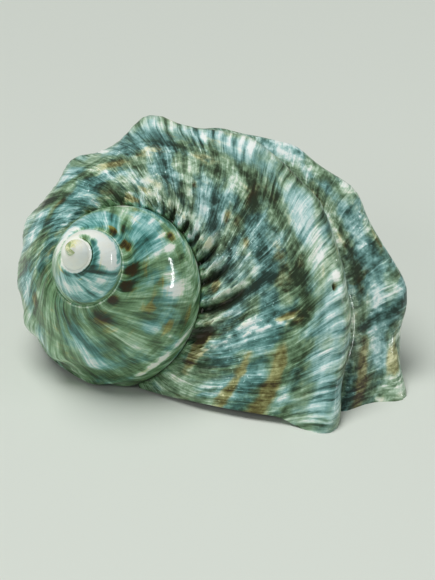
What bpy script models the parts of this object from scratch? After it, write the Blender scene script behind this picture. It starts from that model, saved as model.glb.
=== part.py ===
"""A turban shell, coiled in one piece and resting on its mouth.

A growing shell only ever adds to its lip. Each new lip is the old one turned about the coiling axis and made
larger, so the whole surface follows from one lip curve and one rate of growth. Two numbers name a point on it:
a time of growth, in radians of turning, and a place across the whorl, from the seam to the foot of the columella.
"""

import math

import bmesh
import bpy
import numpy as np

# Driving dimensions, in metres and degrees.
SEAM_RADIUS = 0.030  # from the coiling axis to the seam, at the lip
WHORL_GROWTH = 2.526  # each whorl is this much larger than the one before
SPIRAL_TURNS = 3.25  # from the tip of the spire to the lip
AXIS_TILT = 37.87  # the axis runs down this steeply from the tip to the base
AXIS_HEADING = 26.81  # and this far round from +Y towards +X
APEX = (-0.04090, -0.03875, 0.0554)  # where the whorls start, above the table
DOWN_ANGLE = 0.757  # the growth angle, in radians, that faces the table
WALL = 0.0030  # deep inside
LIP_WALL = 0.0013  # at the edge of the mouth
CALLUS = 0.0012  # the glaze that the mouth lays over the whorl before
LIP_LIFT = 0.0024  # the lip stands this far off the table between the seam and the shoulder
MOUTH_DEPTH = 4.2  # radians of turning that the hollow runs back from the lip

# Facets.
ROWS_PER_WHORL = 54
COLUMELLA_POINTS = 13

# A whorl cut along the axis, as distances out from the axis and down it from the tip, in seam radii.
# The places across the whorl are counted along these points. A young whorl is round; the last one flares
# into a shoulder keel, a lower keel and a base keel.
GROWTH_RATE = math.log(WHORL_GROWTH) / math.tau
SEAM_DEPTH = 1.50
SHOULDER, LOWER, SEAM_BELOW, BASE_KEEL, FOOT = 3.0, 5.0, 7.0, 8.0, 11.0
YOUNG = np.array([
    (1.00, SEAM_DEPTH),
    (1.36, 1.74),
    (1.74, 2.18),
    (2.03, 2.78),
    (2.27, 3.18),
    (2.42, 3.46),
    (2.50, 3.62),
    (WHORL_GROWTH, WHORL_GROWTH * SEAM_DEPTH),
    (2.31, 4.00),
    (1.75, 4.42),
    (0.95, 4.55),
    (0.22, 4.50),
])
GROWN = np.array([
    (1.00, SEAM_DEPTH),
    (1.62, 1.60),
    (2.22, 1.76),
    (2.56, 2.02),
    (2.58, 2.32),
    (3.08, 2.80),
    (2.95, 3.25),
    (2.75, 3.62),
    (2.45, 3.98),
    (1.75, 4.28),
    (0.95, 4.42),
    (0.22, 4.45),
])
GROWN_FROM, GROWN_SPAN = -6.2, 5.75  # growth angles over which the shoulder changes from young to grown
FREE_FROM, FREE_SPAN = -5.85, 5.4  # and those over which the rest flares, where no later whorl covers it

# Crests along the keels, and the knobs on them as (growth angle, height), in seam radii.
SHOULDER_CREST, LOWER_CREST, BASE_CREST = 0.10, 0.05, 0.10
SHOULDER_KNOBS = [(-6.05, 0.05), (-5.55, 0.07), (-5.07, 0.14), (-4.62, 0.11), (-4.17, 0.08), (-3.70, 0.14),
                  (-3.14, 0.16), (-2.58, 0.24), (-1.95, 0.08), (-1.47, 0.08), (-0.90, 0.04), (-0.44, 0.20)]
LOWER_KNOBS = [(-5.45, 0.07), (-3.30, 0.04), (-2.80, 0.04), (-2.35, 0.03), (-1.92, 0.10), (-1.56, 0.15),
               (-1.22, 0.06), (-1.07, 0.19), (-0.64, 0.19)]
KNOB_WIDTH = 0.14
SWELL_ANGLE, SWELL_PLACE, SWELL_HEIGHT = -0.50, 4.15, 0.15  # the lip swells out between the two keels
BELLY_SPAN, BELLY_PRESS = 1.6, 0.145  # where the old whorl faces the table it is flatter


def smooth(x):
    x = np.clip(x, 0.0, 1.0)
    return x * x * (3.0 - 2.0 * x)


def growth(angle):
    return SEAM_RADIUS * np.exp(GROWTH_RATE * angle)


def knobs(angle, places):
    return sum(height * np.exp(-((angle - centre) / KNOB_WIDTH) ** 2) for centre, height in places)


def crest(place, centre, width):
    x = (place - centre) / width
    return np.exp(-(x / 3.0) ** 2) / (1.0 + np.abs(x) ** 1.8)


def smooth_section(angle, place):
    """The whorl's section without its crests: a smooth curve through the points above."""
    grown = np.clip((angle - GROWN_FROM) / GROWN_SPAN, 0.0, 1.05)
    flare = np.clip((angle - FREE_FROM) / FREE_SPAN, 0.0, 1.05) ** 2
    start = np.minimum(np.floor(place).astype(int), len(YOUNG) - 2)
    x = (place - start)[..., None]
    weights = (
        0.5 * (-x + 2 * x**2 - x**3),
        0.5 * (2 - 5 * x**2 + 3 * x**3),
        0.5 * (x + 4 * x**2 - 3 * x**3),
        0.5 * (x**3 - x**2),
    )
    total = 0.0
    for offset, weight in enumerate(weights):
        index = np.clip(start - 1 + offset, 0, len(YOUNG) - 1)
        late = np.where(index <= SHOULDER, grown, flare)[..., None]
        total = total + weight * (YOUNG[index] * (1 - late) + GROWN[index] * late)
    return total


def section(angle, place, crests=True, inset=0.0):
    """A point of the whorl's section, in metres out from the axis and down it; inset is a depth below it."""
    angle, place = np.broadcast_arrays(np.asarray(angle, float), np.asarray(place, float))
    point = smooth_section(angle, place)
    step = 0.02
    ahead = smooth_section(angle, np.minimum(place + step, FOOT))
    behind = smooth_section(angle, np.maximum(place - step, 0.0))
    along = ahead - behind
    along = along / np.linalg.norm(along, axis=-1, keepdims=True)
    outward = np.stack([along[..., 1], -along[..., 0]], axis=-1)
    scale = growth(angle)
    rise = -inset / scale
    if crests:
        last_whorl = smooth((angle + 6.6) / 1.5)
        free = smooth((angle - FREE_FROM) / 1.2)
        off_seam = smooth(place / 0.9) * (free + (1.0 - free) * smooth(np.abs(place - SEAM_BELOW) / 1.2))
        shoulder = SHOULDER_CREST * smooth((angle + 3.05) / 0.7) + knobs(angle, SHOULDER_KNOBS)
        lower = LOWER_CREST * last_whorl + knobs(angle, LOWER_KNOBS)
        swell = SWELL_HEIGHT * np.exp(-((angle - SWELL_ANGLE) / 0.30) ** 2)
        rise = rise + off_seam * (
            shoulder * crest(place, SHOULDER, 0.42)
            + lower * crest(place, LOWER, 0.32)
            + BASE_CREST * last_whorl * crest(place, BASE_KEEL, 0.40)
            + swell * np.exp(-((place - SWELL_PLACE) / 0.38) ** 2)
        )
    point = point + outward * rise[..., None]
    belly = (angle - FREE_FROM) / BELLY_SPAN
    pressed = np.where((belly > 0) & (belly < 1), np.sin(np.pi * belly) ** 2, 0.0) * smooth((place - 4.5) / 2.0)
    return point * (scale * (1.0 - BELLY_PRESS * pressed))[..., None]


def resting_frame():
    """The axis, the direction that faces the table, and the one across them."""
    tilt, heading = math.radians(AXIS_TILT), math.radians(AXIS_HEADING)
    level = np.array([math.sin(heading), math.cos(heading), 0.0])
    up = np.array([0.0, 0.0, 1.0])
    axis = level * math.cos(tilt) - up * math.sin(tilt)
    down = -level * math.sin(tilt) - up * math.cos(tilt)
    return axis, down, np.cross(axis, down)


AXIS, DOWN, ACROSS = resting_frame()


def in_space(angle, out_and_along):
    out, along = out_and_along[..., 0:1], out_and_along[..., 1:2]
    turn = (np.asarray(angle, float) - DOWN_ANGLE)[..., None]
    return np.array(APEX) + out * (np.cos(turn) * DOWN + np.sin(turn) * ACROSS) + along * AXIS


def lip_angle(place):
    """The growth angle at which the whorl reaches the table, which is where its lip is."""
    lift = LIP_LIFT * (1.0 - smooth((place - 1.9) / 0.8))
    angles = np.linspace(-4.5, 0.9, 1081)
    heights = in_space(angles, section(angles, place))[:, 2] - lift
    first = int(np.argmax((heights[:-1] > 0) & (heights[1:] <= 0)))
    share = heights[first] / (heights[first] - heights[first + 1])
    return angles[first] + share * (angles[first + 1] - angles[first])


def sheet(bm, points):
    """A sheet of quads over rows and columns of points."""
    rows, columns = points.shape[:2]
    made = bmesh.ops.create_grid(bm, x_segments=columns - 1, y_segments=rows - 1, size=1.0)
    for vert, point in zip(made["verts"], points.reshape(-1, 3)):
        vert.co = point


def strip(bm, first, second):
    """A strip between two chains of points. The shorter one repeats some, and they are merged afterwards."""
    count = max(len(first), len(second))
    chains = []
    for chain in (first, second):
        picks = np.rint(np.linspace(0, len(chain) - 1, count)).astype(int)
        chains.append(chain[picks])
    sheet(bm, np.stack(chains))


def build_shell():
    upper = np.array([0, 0.8, 1.7, 2.6, SHOULDER, 3.4, 4.1, 4.65, LOWER, 5.35, 6.1, SEAM_BELOW])
    under = np.array([SEAM_BELOW, 7.6, BASE_KEEL, 8.4, 9.2, 10.0, 10.6, FOOT])
    upper_lip = np.array([lip_angle(place) for place in upper])
    under_lip = np.array([lip_angle(place) for place in under])
    lag = upper_lip[0] - upper_lip[-1]
    step = (math.tau - lag) / ROWS_PER_WHORL
    row_count = round(SPIRAL_TURNS * math.tau / step)
    bm = bmesh.new()

    # The outside: every whorl from seam to seam, and the last one on over its base to the columella.
    times = -step * np.arange(row_count, -1, -1)[:, None]
    upper_angles = upper_lip[None, :] + times
    outside = in_space(upper_angles, section(upper_angles, upper[None, :]))
    times = -step * np.arange(ROWS_PER_WHORL, -1, -1)[:, None]
    under_angles = under_lip[None, :] + times
    underside = in_space(under_angles, section(under_angles, under[None, :]))
    sheet(bm, outside)
    sheet(bm, underside)

    # The hollow: rings that follow the lip, the columella and the whorl before, swept back from the mouth.
    places = np.concatenate([upper, under[1:]])
    lip = np.concatenate([upper_lip, under_lip[1:]])
    foot_out, foot_along = GROWN[-1]
    ring_count = round(MOUTH_DEPTH / step)
    rings = []
    for row in range(ring_count + 1):
        time = -step * row
        wall = LIP_WALL + (WALL - LIP_WALL) * smooth(-time / 0.7)
        inner = section(lip + time, places, crests=False, inset=wall)
        scale = growth(lip + time)
        off_seam = CALLUS * (1.0 - smooth(places / 1.2))
        inner[:, 0] = np.maximum(inner[:, 0] + off_seam, 1.3 * foot_out * scale)
        outer_chain = in_space(lip + time, inner)
        before = under[1:][::-1]
        before_lip = under_lip[1:][::-1]
        before_angles = before_lip + time - step * ROWS_PER_WHORL
        parietal = section(before_angles, before, inset=-CALLUS)
        parietal[:, 0] = np.maximum(parietal[:, 0], 1.3 * foot_out * growth(before_angles))
        parietal_chain = in_space(before_angles, parietal)
        along = np.linspace(inner[-1, 1], parietal[0, 1], COLUMELLA_POINTS + 2)[1:-1]
        out = 1.3 * foot_out / foot_along * along
        twist = np.linspace(0.0, lag, COLUMELLA_POINTS + 2)[1:-1]
        columella_chain = in_space(lip[-1] + time + twist, np.stack([out, along], axis=-1))
        rings.append(np.concatenate([outer_chain, columella_chain, parietal_chain]))
    rings = np.array(rings)
    rings[0, :, 2] = np.maximum(rings[0, :, 2], 0.0003)
    sheet(bm, np.concatenate([rings, rings[:, :1]], axis=1))

    # The lip's edge joins the outside to the hollow, round the mouth, down the columella and back over the callus.
    outer_count, parietal_count = len(places), len(under) - 1
    lip_edge = np.concatenate([outside[-1], underside[-1, 1:]])
    strip(bm, lip_edge, rings[0, :outer_count])
    foot_line = underside[::-1, -1]
    strip(bm, foot_line, rings[0, outer_count - 1:len(rings[0]) - parietal_count + 1])
    callus_edge = underside[0, ::-1]
    strip(bm, callus_edge, np.concatenate([rings[0, -parietal_count:], rings[0, :1]]))

    # The hollow's far end.
    end = np.concatenate([rings[-1], rings[-1, :1]])
    strip(bm, end[:outer_count], end[:outer_count - 2:-1])

    bmesh.ops.remove_doubles(bm, verts=bm.verts, dist=0.00001)
    close_tip(bm)
    bmesh.ops.triangulate(bm, faces=bm.faces)
    bmesh.ops.recalc_face_normals(bm, faces=bm.faces)
    return bm


def close_tip(bm):
    """The spire's tip: the open edge round the first whorl is drawn up to a point."""
    open_edges = [edge for edge in bm.edges if edge.is_boundary]
    rim = {vert for edge in open_edges for vert in edge.verts}
    centre = sum((vert.co for vert in rim), start=next(iter(rim)).co * 0.0) / len(rim)
    size = max((vert.co - centre).length for vert in rim)
    tip = [centre[i] - AXIS[i] * 0.45 * size for i in range(3)]
    made = bmesh.ops.extrude_edge_only(bm, edges=open_edges)["geom"]
    top = [item for item in made if isinstance(item, bmesh.types.BMVert)]
    bmesh.ops.pointmerge(bm, verts=top, merge_co=tip)


def shell_material():
    material = bpy.data.materials.new("polished_shell")
    material.use_nodes = True
    finish = material.node_tree.nodes["Principled BSDF"]
    finish.inputs["Base Color"].default_value = (0.16, 0.24, 0.21, 1.0)
    finish.inputs["Roughness"].default_value = 0.25
    finish.inputs["Metallic"].default_value = 0.0
    return material


def main():
    for item in list(bpy.data.objects):
        bpy.data.objects.remove(item, do_unlink=True)
    collection = bpy.data.collections.new("turban_shell")
    bpy.context.scene.collection.children.link(collection)
    mesh = bpy.data.meshes.new("turban_shell")
    bm = build_shell()
    bm.to_mesh(mesh)
    bm.free()
    mesh.materials.append(shell_material())
    mesh.shade_smooth()
    mesh.set_sharp_from_angle(angle=math.radians(40))
    shell = bpy.data.objects.new("turban_shell", mesh)
    collection.objects.link(shell)


main()
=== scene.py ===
# %% [markdown]
# # A turban shell
#
# This lesson dresses one large turban shell that lies on its mouth. The shell grew as one piece, so it is
# modelled as one mesh: the coiled outside, the lip, and the pearly hollow behind it. The solid that carries
# its real size comes first, and everything after it is worked out in the same metres.

# %% Load the frame
import math

import bmesh
import bpy
import numpy as np
from mathutils import Matrix, Vector

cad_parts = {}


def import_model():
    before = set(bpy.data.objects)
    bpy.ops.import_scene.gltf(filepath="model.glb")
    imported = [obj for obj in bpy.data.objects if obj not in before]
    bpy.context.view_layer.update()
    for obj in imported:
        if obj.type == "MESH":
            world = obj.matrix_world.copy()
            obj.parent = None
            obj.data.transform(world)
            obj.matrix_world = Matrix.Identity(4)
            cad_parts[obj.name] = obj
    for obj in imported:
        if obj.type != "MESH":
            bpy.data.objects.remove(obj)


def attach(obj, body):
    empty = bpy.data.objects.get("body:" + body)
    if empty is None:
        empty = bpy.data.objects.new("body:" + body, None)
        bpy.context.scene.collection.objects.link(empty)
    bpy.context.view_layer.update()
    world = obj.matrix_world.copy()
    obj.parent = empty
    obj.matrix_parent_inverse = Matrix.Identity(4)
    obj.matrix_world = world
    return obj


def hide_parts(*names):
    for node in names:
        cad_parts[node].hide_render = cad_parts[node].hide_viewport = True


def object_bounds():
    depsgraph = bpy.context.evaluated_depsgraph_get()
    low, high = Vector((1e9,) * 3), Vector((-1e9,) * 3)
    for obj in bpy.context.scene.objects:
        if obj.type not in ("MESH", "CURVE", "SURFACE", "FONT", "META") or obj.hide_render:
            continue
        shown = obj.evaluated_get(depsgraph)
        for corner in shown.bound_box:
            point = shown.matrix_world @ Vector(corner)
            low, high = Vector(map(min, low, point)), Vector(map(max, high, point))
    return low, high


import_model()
cad_box = [list(map(float, corner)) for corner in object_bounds()]
print("solid, from", cad_box[0], "to", cad_box[1])

# %% [markdown]
# ## How a shell grows
#
# A growing shell only ever adds to its lip. Each new lip is the old one turned about the coiling axis and
# made larger, so one section of the whorl and one rate of growth give the whole surface. It could be
# sculpted, but then the growth lines, bands and seams would each have to be drawn by hand. Here a point
# on the surface has two natural names, and both the shape and the markings follow them:
#
# - its time: how many radians of turning before today's lip it was made (0 at the lip, negative before it);
# - its place: how far across the whorl it is, from the seam (0) over the shoulder keel (3), the lower
#   keel (5) and the line where the next whorl joins (7), to the foot of the columella (11).

# %% Growth and the resting pose
SEAM_RADIUS = 0.030  # metres from the coiling axis to the seam, at the lip
WHORL_GROWTH = 2.526  # each whorl is this much larger than the one before
SPIRAL_TURNS = 3.9  # from the tip of the spire to the lip
AXIS_TILT = 37.87  # degrees that the axis runs down, from the tip to the base
AXIS_HEADING = 26.81  # degrees round from +Y towards +X
APEX = np.array([-0.04090, -0.03875, 0.0554])  # where the whorls start, above the table
DOWN_ANGLE = 0.757  # the growth angle, in radians, that faces the table
GROWTH_RATE = math.log(WHORL_GROWTH) / math.tau


def smooth(x):
    x = np.clip(x, 0.0, 1.0)
    return x * x * (3.0 - 2.0 * x)


def after(value, start, span):
    """A soft step up: 0 until start, and 1 a span later."""
    return smooth((value - start) / span)


def before(value, end, span):
    """A soft step down: 0 from end on, and 1 until a span earlier."""
    return smooth((end - value) / span)


def hill(value, centre, width):
    """A soft hill, 1 high at its centre."""
    return np.exp(-(((value - centre) / width) ** 2))


def growth(angle):
    return SEAM_RADIUS * np.exp(GROWTH_RATE * angle)


def resting_frame():
    """The axis, the direction that faces the table, and the one across them."""
    tilt, heading = math.radians(AXIS_TILT), math.radians(AXIS_HEADING)
    level = np.array([math.sin(heading), math.cos(heading), 0.0])
    up = np.array([0.0, 0.0, 1.0])
    axis = level * math.cos(tilt) - up * math.sin(tilt)
    down = -level * math.sin(tilt) - up * math.cos(tilt)
    return axis, down, np.cross(axis, down)


AXIS, DOWN, ACROSS = resting_frame()


def in_space(angle, out_and_along):
    out, along = out_and_along[..., 0:1], out_and_along[..., 1:2]
    turn = (np.asarray(angle, float) - DOWN_ANGLE)[..., None]
    return APEX + out * (np.cos(turn) * DOWN + np.sin(turn) * ACROSS) + along * AXIS


print("axis of coiling", AXIS.round(3))

# %% [markdown]
# ## The whorl's section
#
# The young whorls are round, and the last one flares into keels. One section could be drawn for each age,
# but two lists of points, young and grown, blended by age, need far fewer numbers. A smooth curve runs
# through them. Crests and knobs are added along the section's outward direction, so they stand square to
# the wall.
#
# Knobs are listed as (growth angle, height), and all heights are in seam radii, so that they grow with the
# shell. The lower keel has a notch near the lip, which is simply a knob of negative height.

# %% Two sections and the curve through them
SEAM_DEPTH = 1.50  # how far down the axis the seam lies, in seam radii
SHOULDER, LOWER, SEAM_BELOW, BASE_KEEL, FOOT = 3.0, 5.0, 7.0, 8.0, 11.0
YOUNG = np.array([
    (1.00, SEAM_DEPTH), (1.36, 1.74), (1.735, 2.18), (2.09, 2.745), (2.305, 3.155), (2.44, 3.445),
    (2.50, 3.615), (WHORL_GROWTH, WHORL_GROWTH * SEAM_DEPTH), (2.31, 4.00), (1.75, 4.42), (0.95, 4.55),
    (0.22, 4.50),
])
GROWN = np.array([
    (1.00, SEAM_DEPTH), (1.62, 1.60), (2.22, 1.76), (2.56, 2.02), (2.58, 2.32), (3.08, 2.80), (2.95, 3.25),
    (2.75, 3.62), (2.45, 3.98), (1.75, 4.28), (0.95, 4.42), (0.22, 4.45),
])
GROWN_FROM, GROWN_SPAN = -6.2, 5.75  # growth angles over which the shoulder changes to grown
FREE_FROM, FREE_SPAN = -5.85, 5.4  # and those over which the rest flares
OVERGROWN = 1.05  # the blend runs on a little past the grown section at the lip


def smooth_section(angle, place):
    """The blended section, as a Catmull-Rom curve through its points."""
    grown = np.clip((angle - GROWN_FROM) / GROWN_SPAN, 0.0, OVERGROWN)
    flare = np.clip((angle - FREE_FROM) / FREE_SPAN, 0.0, OVERGROWN) ** 2
    start = np.minimum(np.floor(place).astype(int), len(YOUNG) - 2)
    x = (place - start)[..., None]
    weights = (
        0.5 * (-x + 2 * x**2 - x**3),
        0.5 * (2 - 5 * x**2 + 3 * x**3),
        0.5 * (x + 4 * x**2 - 3 * x**3),
        0.5 * (x**3 - x**2),
    )
    total = 0.0
    for offset, weight in enumerate(weights):
        index = np.clip(start - 1 + offset, 0, len(YOUNG) - 1)
        late = np.where(index <= SHOULDER, grown, flare)[..., None]
        total = total + weight * (YOUNG[index] * (1 - late) + GROWN[index] * late)
    return total


print("section points:", len(YOUNG), "young and", len(GROWN), "grown")

# %% Crests and knobs
SHOULDER_CREST, LOWER_CREST, BASE_CREST = 0.10, 0.05, 0.10  # heights
SHOULDER_WIDTH, LOWER_WIDTH, BASE_WIDTH = 0.42, 0.32, 0.40  # and widths, in places
SHOULDER_RISES = (-3.05, 0.7)  # growth angle and span over which the shoulder's crest comes up
KEELS_RISE = (-6.6, 1.5)  # and those for the other two
SHOULDER_KNOBS = [(-6.05, 0.05), (-5.55, 0.07), (-5.07, 0.14), (-4.62, 0.11), (-4.17, 0.08), (-3.70, 0.14),
                  (-3.14, 0.16), (-2.58, 0.23), (-1.95, 0.08), (-1.47, 0.08), (-0.90, 0.04), (-0.44, 0.20)]
LOWER_KNOBS = [(-5.45, 0.07), (-3.30, 0.04), (-2.80, 0.04), (-2.35, 0.03), (-1.92, 0.10), (-1.56, 0.15),
               (-1.22, 0.05), (-1.07, 0.19), (-0.87, -0.09), (-0.64, 0.18)]
KNOB_WIDTH = 0.14
SWELL_ANGLE, SWELL_SPAN = -0.50, 0.30  # the lip swells out between the two keels
SWELL_PLACE, SWELL_WIDTH, SWELL_HEIGHT = 4.15, 0.38, 0.15
FULL_PLACE, FULL_WIDTH, FULL_HEIGHT = 3.3, 1.7, 0.04  # the young whorls' shoulder is a little fuller
BELLY_SPAN, BELLY_PRESS = 1.6, 0.145  # where the old whorl faces the table it is flatter
BELLY_PLACES = (4.5, 2.0)


def knobs(angle, places):
    return sum(height * hill(angle, centre, KNOB_WIDTH) for centre, height in places)


def crest(place, centre, width):
    """A crest with a narrow top and long sides."""
    x = (place - centre) / width
    return np.exp(-(x / 3.0) ** 2) / (1.0 + np.abs(x) ** 1.8)


print("knobs on the shoulder:", len(SHOULDER_KNOBS), "- on the lower keel:", len(LOWER_KNOBS))

# %% The whole section
SLOPE_STEP = 0.02  # the slope of the section is measured over this many places to each side


def section(angle, place, crests=True, inset=0.0, relief=0.0):
    """Metres out from the axis and down it. Inset is a depth below the surface, relief a height above."""
    angle, place = np.broadcast_arrays(np.asarray(angle, float), np.asarray(place, float))
    point = smooth_section(angle, place)
    ahead = smooth_section(angle, np.minimum(place + SLOPE_STEP, FOOT))
    behind = smooth_section(angle, np.maximum(place - SLOPE_STEP, 0.0))
    along = ahead - behind
    along = along / np.linalg.norm(along, axis=-1, keepdims=True)
    outward = np.stack([along[..., 1], -along[..., 0]], axis=-1)
    scale = growth(angle)
    rise = (relief - inset) / scale
    if crests:
        last_whorl = after(angle, *KEELS_RISE)
        free = after(angle, FREE_FROM, 1.2)
        covered = (1.0 - free) * after(np.abs(place - SEAM_BELOW), 0.0, 1.2)
        off_seam = after(place, 0.0, 0.9) * (free + covered)
        shoulder = SHOULDER_CREST * after(angle, *SHOULDER_RISES) + knobs(angle, SHOULDER_KNOBS)
        lower = LOWER_CREST * last_whorl + knobs(angle, LOWER_KNOBS)
        swell = SWELL_HEIGHT * hill(angle, SWELL_ANGLE, SWELL_SPAN)
        rise = rise + off_seam * (
            shoulder * crest(place, SHOULDER, SHOULDER_WIDTH)
            + lower * crest(place, LOWER, LOWER_WIDTH)
            + BASE_CREST * last_whorl * crest(place, BASE_KEEL, BASE_WIDTH)
            + swell * hill(place, SWELL_PLACE, SWELL_WIDTH)
            + FULL_HEIGHT * (1.0 - last_whorl) * hill(place, FULL_PLACE, FULL_WIDTH)
        )
    point = point + outward * rise[..., None]
    belly = (angle - FREE_FROM) / BELLY_SPAN
    pressed = np.where((belly > 0) & (belly < 1), np.sin(np.pi * belly) ** 2, 0.0)
    pressed = pressed * after(place, *BELLY_PLACES)
    return point * (scale * (1.0 - BELLY_PRESS * pressed))[..., None]


lip_section = section(0.0, np.arange(FOOT + 1.0))
print("the section at the lip is", round(float(lip_section[:, 0].max() * 1000)), "mm from the axis at most")

# %% [markdown]
# ## Where the lip is
#
# The shell rests on the rim of its mouth. The rim could be drawn as a curve of its own, but it might not lie
# flat, so each spiral line simply ends where it meets the table. Between the seam and the shoulder the real
# rim stands a little off the table, which is where the shadow creeps under it.

# %% The lip
LIP_LIFT = 0.0024  # metres
LIFTED_TO, LIFT_FADES = 1.9, 0.8  # the place from which the lift fades, and over how many places
LIP_SEARCH = (-4.5, 0.9, 1081)  # growth angles that are tried: first, last and how many


def lip_angle(place):
    """The growth angle at which the spiral line of a place first meets the table."""
    lift = LIP_LIFT * (1.0 - after(place, LIFTED_TO, LIFT_FADES))
    angles = np.linspace(*LIP_SEARCH)
    heights = in_space(angles, section(angles, place))[:, 2] - lift
    first = int(np.argmax((heights[:-1] > 0) & (heights[1:] <= 0)))
    share = heights[first] / (heights[first] - heights[first + 1])
    return angles[first] + share * (angles[first + 1] - angles[first])


def spread(*stops):
    """Places across the whorl: each (start, end, count) is an even run, and the runs share their ends."""
    runs = [np.linspace(start, end, count, endpoint=False) for start, end, count in stops]
    return np.append(np.concatenate(runs), stops[-1][1])


# More columns where the surface bends or is fluted: by the seam, on the crest and on the lower keel.
UPPER = spread(
    (0.0, 0.24, 5), (0.24, 1.0, 14), (1.0, 2.2, 11), (2.2, 3.3, 16), (3.3, 4.6, 9), (4.6, 5.4, 9),
    (5.4, 7.0, 7),
)
UNDER = spread((7.0, 7.6, 3), (7.6, 8.5, 7), (8.5, 11.0, 9))
upper_lip = np.array([lip_angle(place) for place in UPPER])
under_lip = np.array([lip_angle(place) for place in UNDER])
LAG = upper_lip[0] - upper_lip[-1]
TURN = math.tau - LAG  # the time that one whorl takes to meet the next
print("places across the whorl:", len(UPPER) + len(UNDER) - 1, "- one turn of time:", round(TURN, 3))

# %% [markdown]
# ## Growth lines
#
# Every streak, fold and flute of the shell lies along an old lip, so they all share one family of lines.
# They could be drawn one by one, but a point's line is simply its time with the lines' bend taken out, so
# a streak is a range of lines, and one bend serves the relief and the colours. The lines lean back beside
# the seam and swing forward before the shoulder. The young whorls had no keels, so the kinks that the
# keels give today's lip are taken out of their lines.

# %% The bend of the growth lines
SEAM_LEAN, SEAM_LEAN_REACH = 0.26, 0.55  # how far the lines lean, in radians, and over how many places
LEAN_LOST = 0.15  # the share of the lean that is lost again past the folds
CREST_SWING = 0.13  # radians
lip_trend = np.polynomial.Polynomial.fit(UPPER, upper_lip, 3)
lip_wiggle = upper_lip - lip_trend(UPPER)  # the part of the lip's shape that comes from the keels


def growth_line(time, place):
    """The growth line through a point, named by the time at which it starts from the seam."""
    lean = SEAM_LEAN * np.tanh(place / SEAM_LEAN_REACH) * (1.0 - LEAN_LOST * after(place, 0.55, 0.6))
    swing = CREST_SWING * after(place, 1.7, 1.1) * after(time, -4.0, 1.5)
    without_keels = np.interp(place, UPPER, lip_wiggle) * before(time, -4.6, 1.0)
    return time - lean + swing + without_keels


def line_length(line):
    """The line as a distance along the whorl, so that streaks keep one width on every whorl."""
    return (np.exp(GROWTH_RATE * line) - 1.0) / GROWTH_RATE


print("length of the last whorl's lines:", round(float(-line_length(-TURN)), 2))

# %% [markdown]
# ## Relief
#
# Several kinds of relief give this shell its worn, hand-worked look. Radial folds crowd against the seam,
# rough and lumpy, flutes cross the shoulder crest, old lips show as thin scars, a worm has bored a small
# pit in the crest, and the whole wall is gently uneven. They could be painted as bump, but they show on
# the outline and in the shadows, so they are real heights in the mesh.
#
# Unevenness is a sum of waves with chance directions. Each set draws from a seed of its own, so one can be
# changed without moving the others.

# %% Folds at the seam
# Folds against the seam: (line, half width, height, reach across the whorl). Those below 0 are valleys.
SEAM_FOLDS = [
    (-3.42, 0.050, 0.5, 0.5), (-3.30, 0.040, -0.4, 0.5), (-3.18, 0.045, 0.6, 0.6), (-3.07, 0.042, 0.9, 0.5),
    (-2.95, 0.036, -0.8, 0.6), (-2.83, 0.045, 1.1, 0.6), (-2.70, 0.036, -0.9, 0.7),
    (-2.555, 0.045, 1.2, 0.6), (-2.42, 0.035, 0.7, 0.6), (-2.36, 0.025, -0.7, 0.4),
    (-2.29, 0.036, 1.1, 0.50), (-2.225, 0.030, -1.1, 0.50), (-2.16, 0.028, 0.6, 0.4),
    (-2.085, 0.034, 1.3, 0.45), (-2.023, 0.026, -1.3, 0.42), (-1.955, 0.026, 0.5, 0.4),
    (-1.890, 0.034, 1.3, 0.50), (-1.835, 0.026, -1.3, 0.42), (-1.76, 0.030, 0.5, 0.4),
    (-1.665, 0.042, 1.5, 0.68), (-1.600, 0.028, -1.4, 0.66), (-1.53, 0.030, 0.4, 0.5),
    (-1.457, 0.040, 1.2, 0.52), (-1.365, 0.028, -1.2, 0.68), (-1.27, 0.045, 0.7, 0.5),
    (-1.155, 0.040, 1.2, 0.88), (-1.080, 0.034, -1.5, 0.86), (-0.93, 0.036, 1.0, 0.52),
    (-0.845, 0.030, -0.6, 0.4), (-0.775, 0.030, -0.8, 0.38), (-0.69, 0.040, 0.6, 0.5),
]
FOLD_HEIGHT = 0.0014  # metres, for a fold that the list gives as 1
FOLDED = (-4.2, 0.8)  # the time from which the seam is folded, and how gradually that starts


def folds(time, place, valleys_only=False):
    """Metres of height of the folds, or how deep in a valley between them a point lies, from 0 to 1."""
    line = growth_line(time, place)
    total = 0.0
    for centre, width, height, reach in SEAM_FOLDS:
        # A fold fades out from 0.7 to 1.15 of its reach.
        shape = hill(line, centre, width) * (1.0 - after(place, 0.70 * reach, 0.45 * reach))
        total = total + (max(-height, 0.0) if valleys_only else FOLD_HEIGHT * height) * shape
    return total * after(place, 0.0, 0.10)


print("folds at the seam:", len(SEAM_FOLDS))

# %% Flutes and lines on the crest
draw = np.random.default_rng(11)
FLUTE_SPAN, FLUTE_GAP = (-4.6, -0.05), (0.038, 0.085)  # times
FLUTE_WIDTH, FLUTE_REACH = (0.012, 0.024), (0.30, 0.60)
FLUTE_HEIGHT = (0.00010, 0.00032)  # metres
FLUTE_PLACE, FLUTE_SHIFT = 2.68, 0.09
CREST_LINE_PLACE, CREST_LINE_WIDTH = 2.62, 0.016


def run_of_flutes(start, end):
    """Flutes at uneven lines from start to end, each with a line, a half width, a height and a reach."""
    flutes = []
    line = start
    while line < end:
        flutes.append((line, *(draw.uniform(*span) for span in (FLUTE_WIDTH, FLUTE_HEIGHT, FLUTE_REACH))))
        line += draw.uniform(*FLUTE_GAP)
    return flutes


FLUTES = run_of_flutes(*FLUTE_SPAN)


def flutes(time, place):
    line = growth_line(time, place)
    total = 0.0
    for centre, width, height, reach in FLUTES:
        total = total + height * hill(line, centre - FLUTE_SHIFT, width) * hill(place, FLUTE_PLACE, reach)
    return total


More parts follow.
